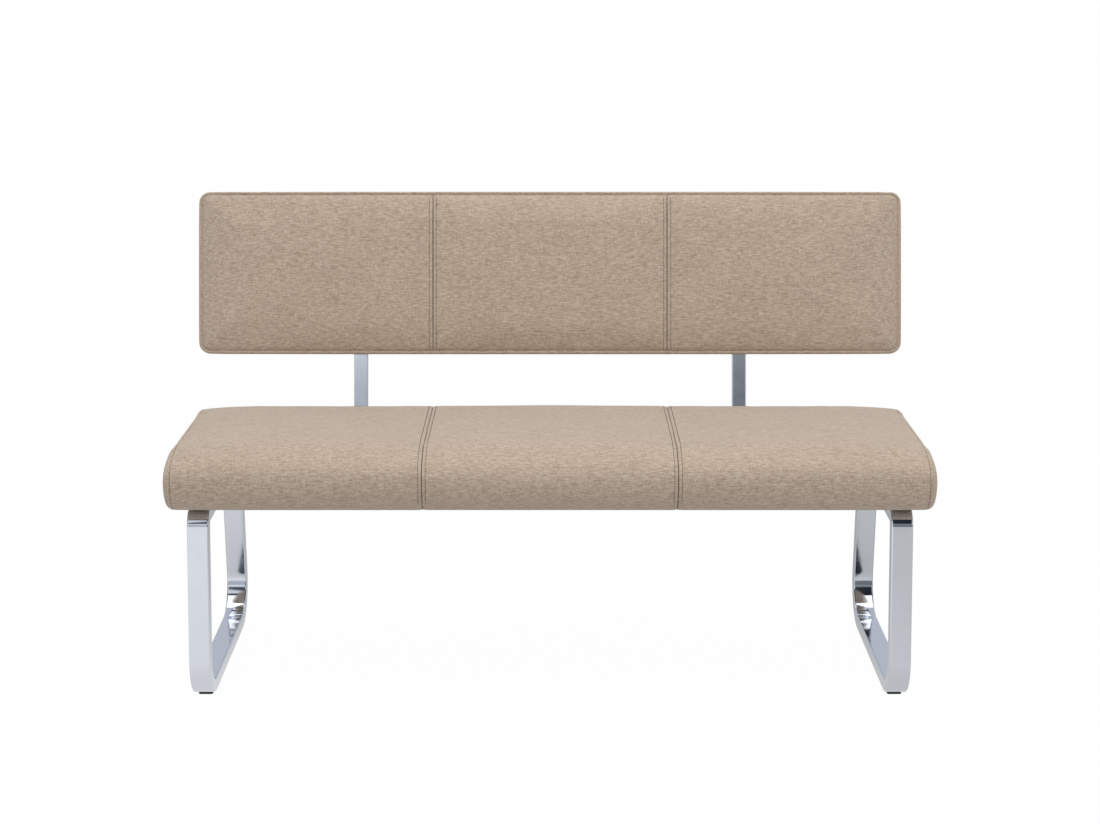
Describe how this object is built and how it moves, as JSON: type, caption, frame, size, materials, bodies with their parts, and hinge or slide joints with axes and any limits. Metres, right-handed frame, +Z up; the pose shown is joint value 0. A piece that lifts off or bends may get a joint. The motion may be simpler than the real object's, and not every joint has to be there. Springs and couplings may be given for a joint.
{
  "type": "banquette",
  "caption": "Free-standing upholstered bench with a leaning padded back on flat-bar uprights, standing on two closed loops of chromed flat tube with floor glides.",
  "frame": {"origin": "on the floor, under the middle of the bench's outer box", "axes": "+X along the bench to the sitter's left hand as seen from the front, that is to the right in the picture; +Y from front to back; +Z up"},
  "size_m": [1.4, 0.5776, 0.8887],
  "materials": {
    "chrome": "bright chrome plate on steel",
    "glide_plastic": "moulded black polyamide",
    "upholstery": "beige and taupe melange woven cloth",
    "foam": "cut polyether foam",
    "felt": "needled grey felt",
    "lining": "black spun-bonded dust cloth",
    "plywood": "birch plywood",
    "beech": "planed beech",
    "spring_steel": "oiled spring wire",
    "zinc_steel": "bright zinc plate"
  },
  "bodies": {
    "root": {"arm_bolts": "zinc_steel", "arm_tee_nuts": "zinc_steel", "back_board": "plywood", "back_bolts": "zinc_steel", "back_boxing": "upholstery", "back_foam": "foam", "back_panel_centre": "upholstery", "back_panel_left": "upholstery", "back_panel_right": "upholstery", "back_rear_cover": "upholstery", "back_rear_foam": "foam", "back_tee_nuts": "zinc_steel", "back_upright_left": "chrome", "back_upright_right": "chrome", "cross_rail_left": "beech", "cross_rail_right": "beech", "end_board_left": "plywood", "end_board_right": "plywood", "frame_screws": "zinc_steel", "front_rail": "beech", "glide_left_front": "glide_plastic", "glide_left_rear": "glide_plastic", "glide_right_front": "glide_plastic", "glide_right_rear": "glide_plastic", "leg_bearer_left": "beech", "leg_bearer_right": "beech", "leg_bolts": "zinc_steel", "leg_loop_left": "chrome", "leg_loop_right": "chrome", "leg_tee_nuts": "zinc_steel", "leg_washers": "zinc_steel", "rear_rail": "beech", "seat_cover_centre": "upholstery", "seat_cover_left": "upholstery", "seat_cover_right": "upholstery", "seat_end_panel_left": "upholstery", "seat_end_panel_right": "upholstery", "seat_foam": "foam", "seat_lining": "lining", "seat_springs": "spring_steel", "spring_clips": "spring_steel", "spring_felt": "felt"}
  },
  "joints": []
}
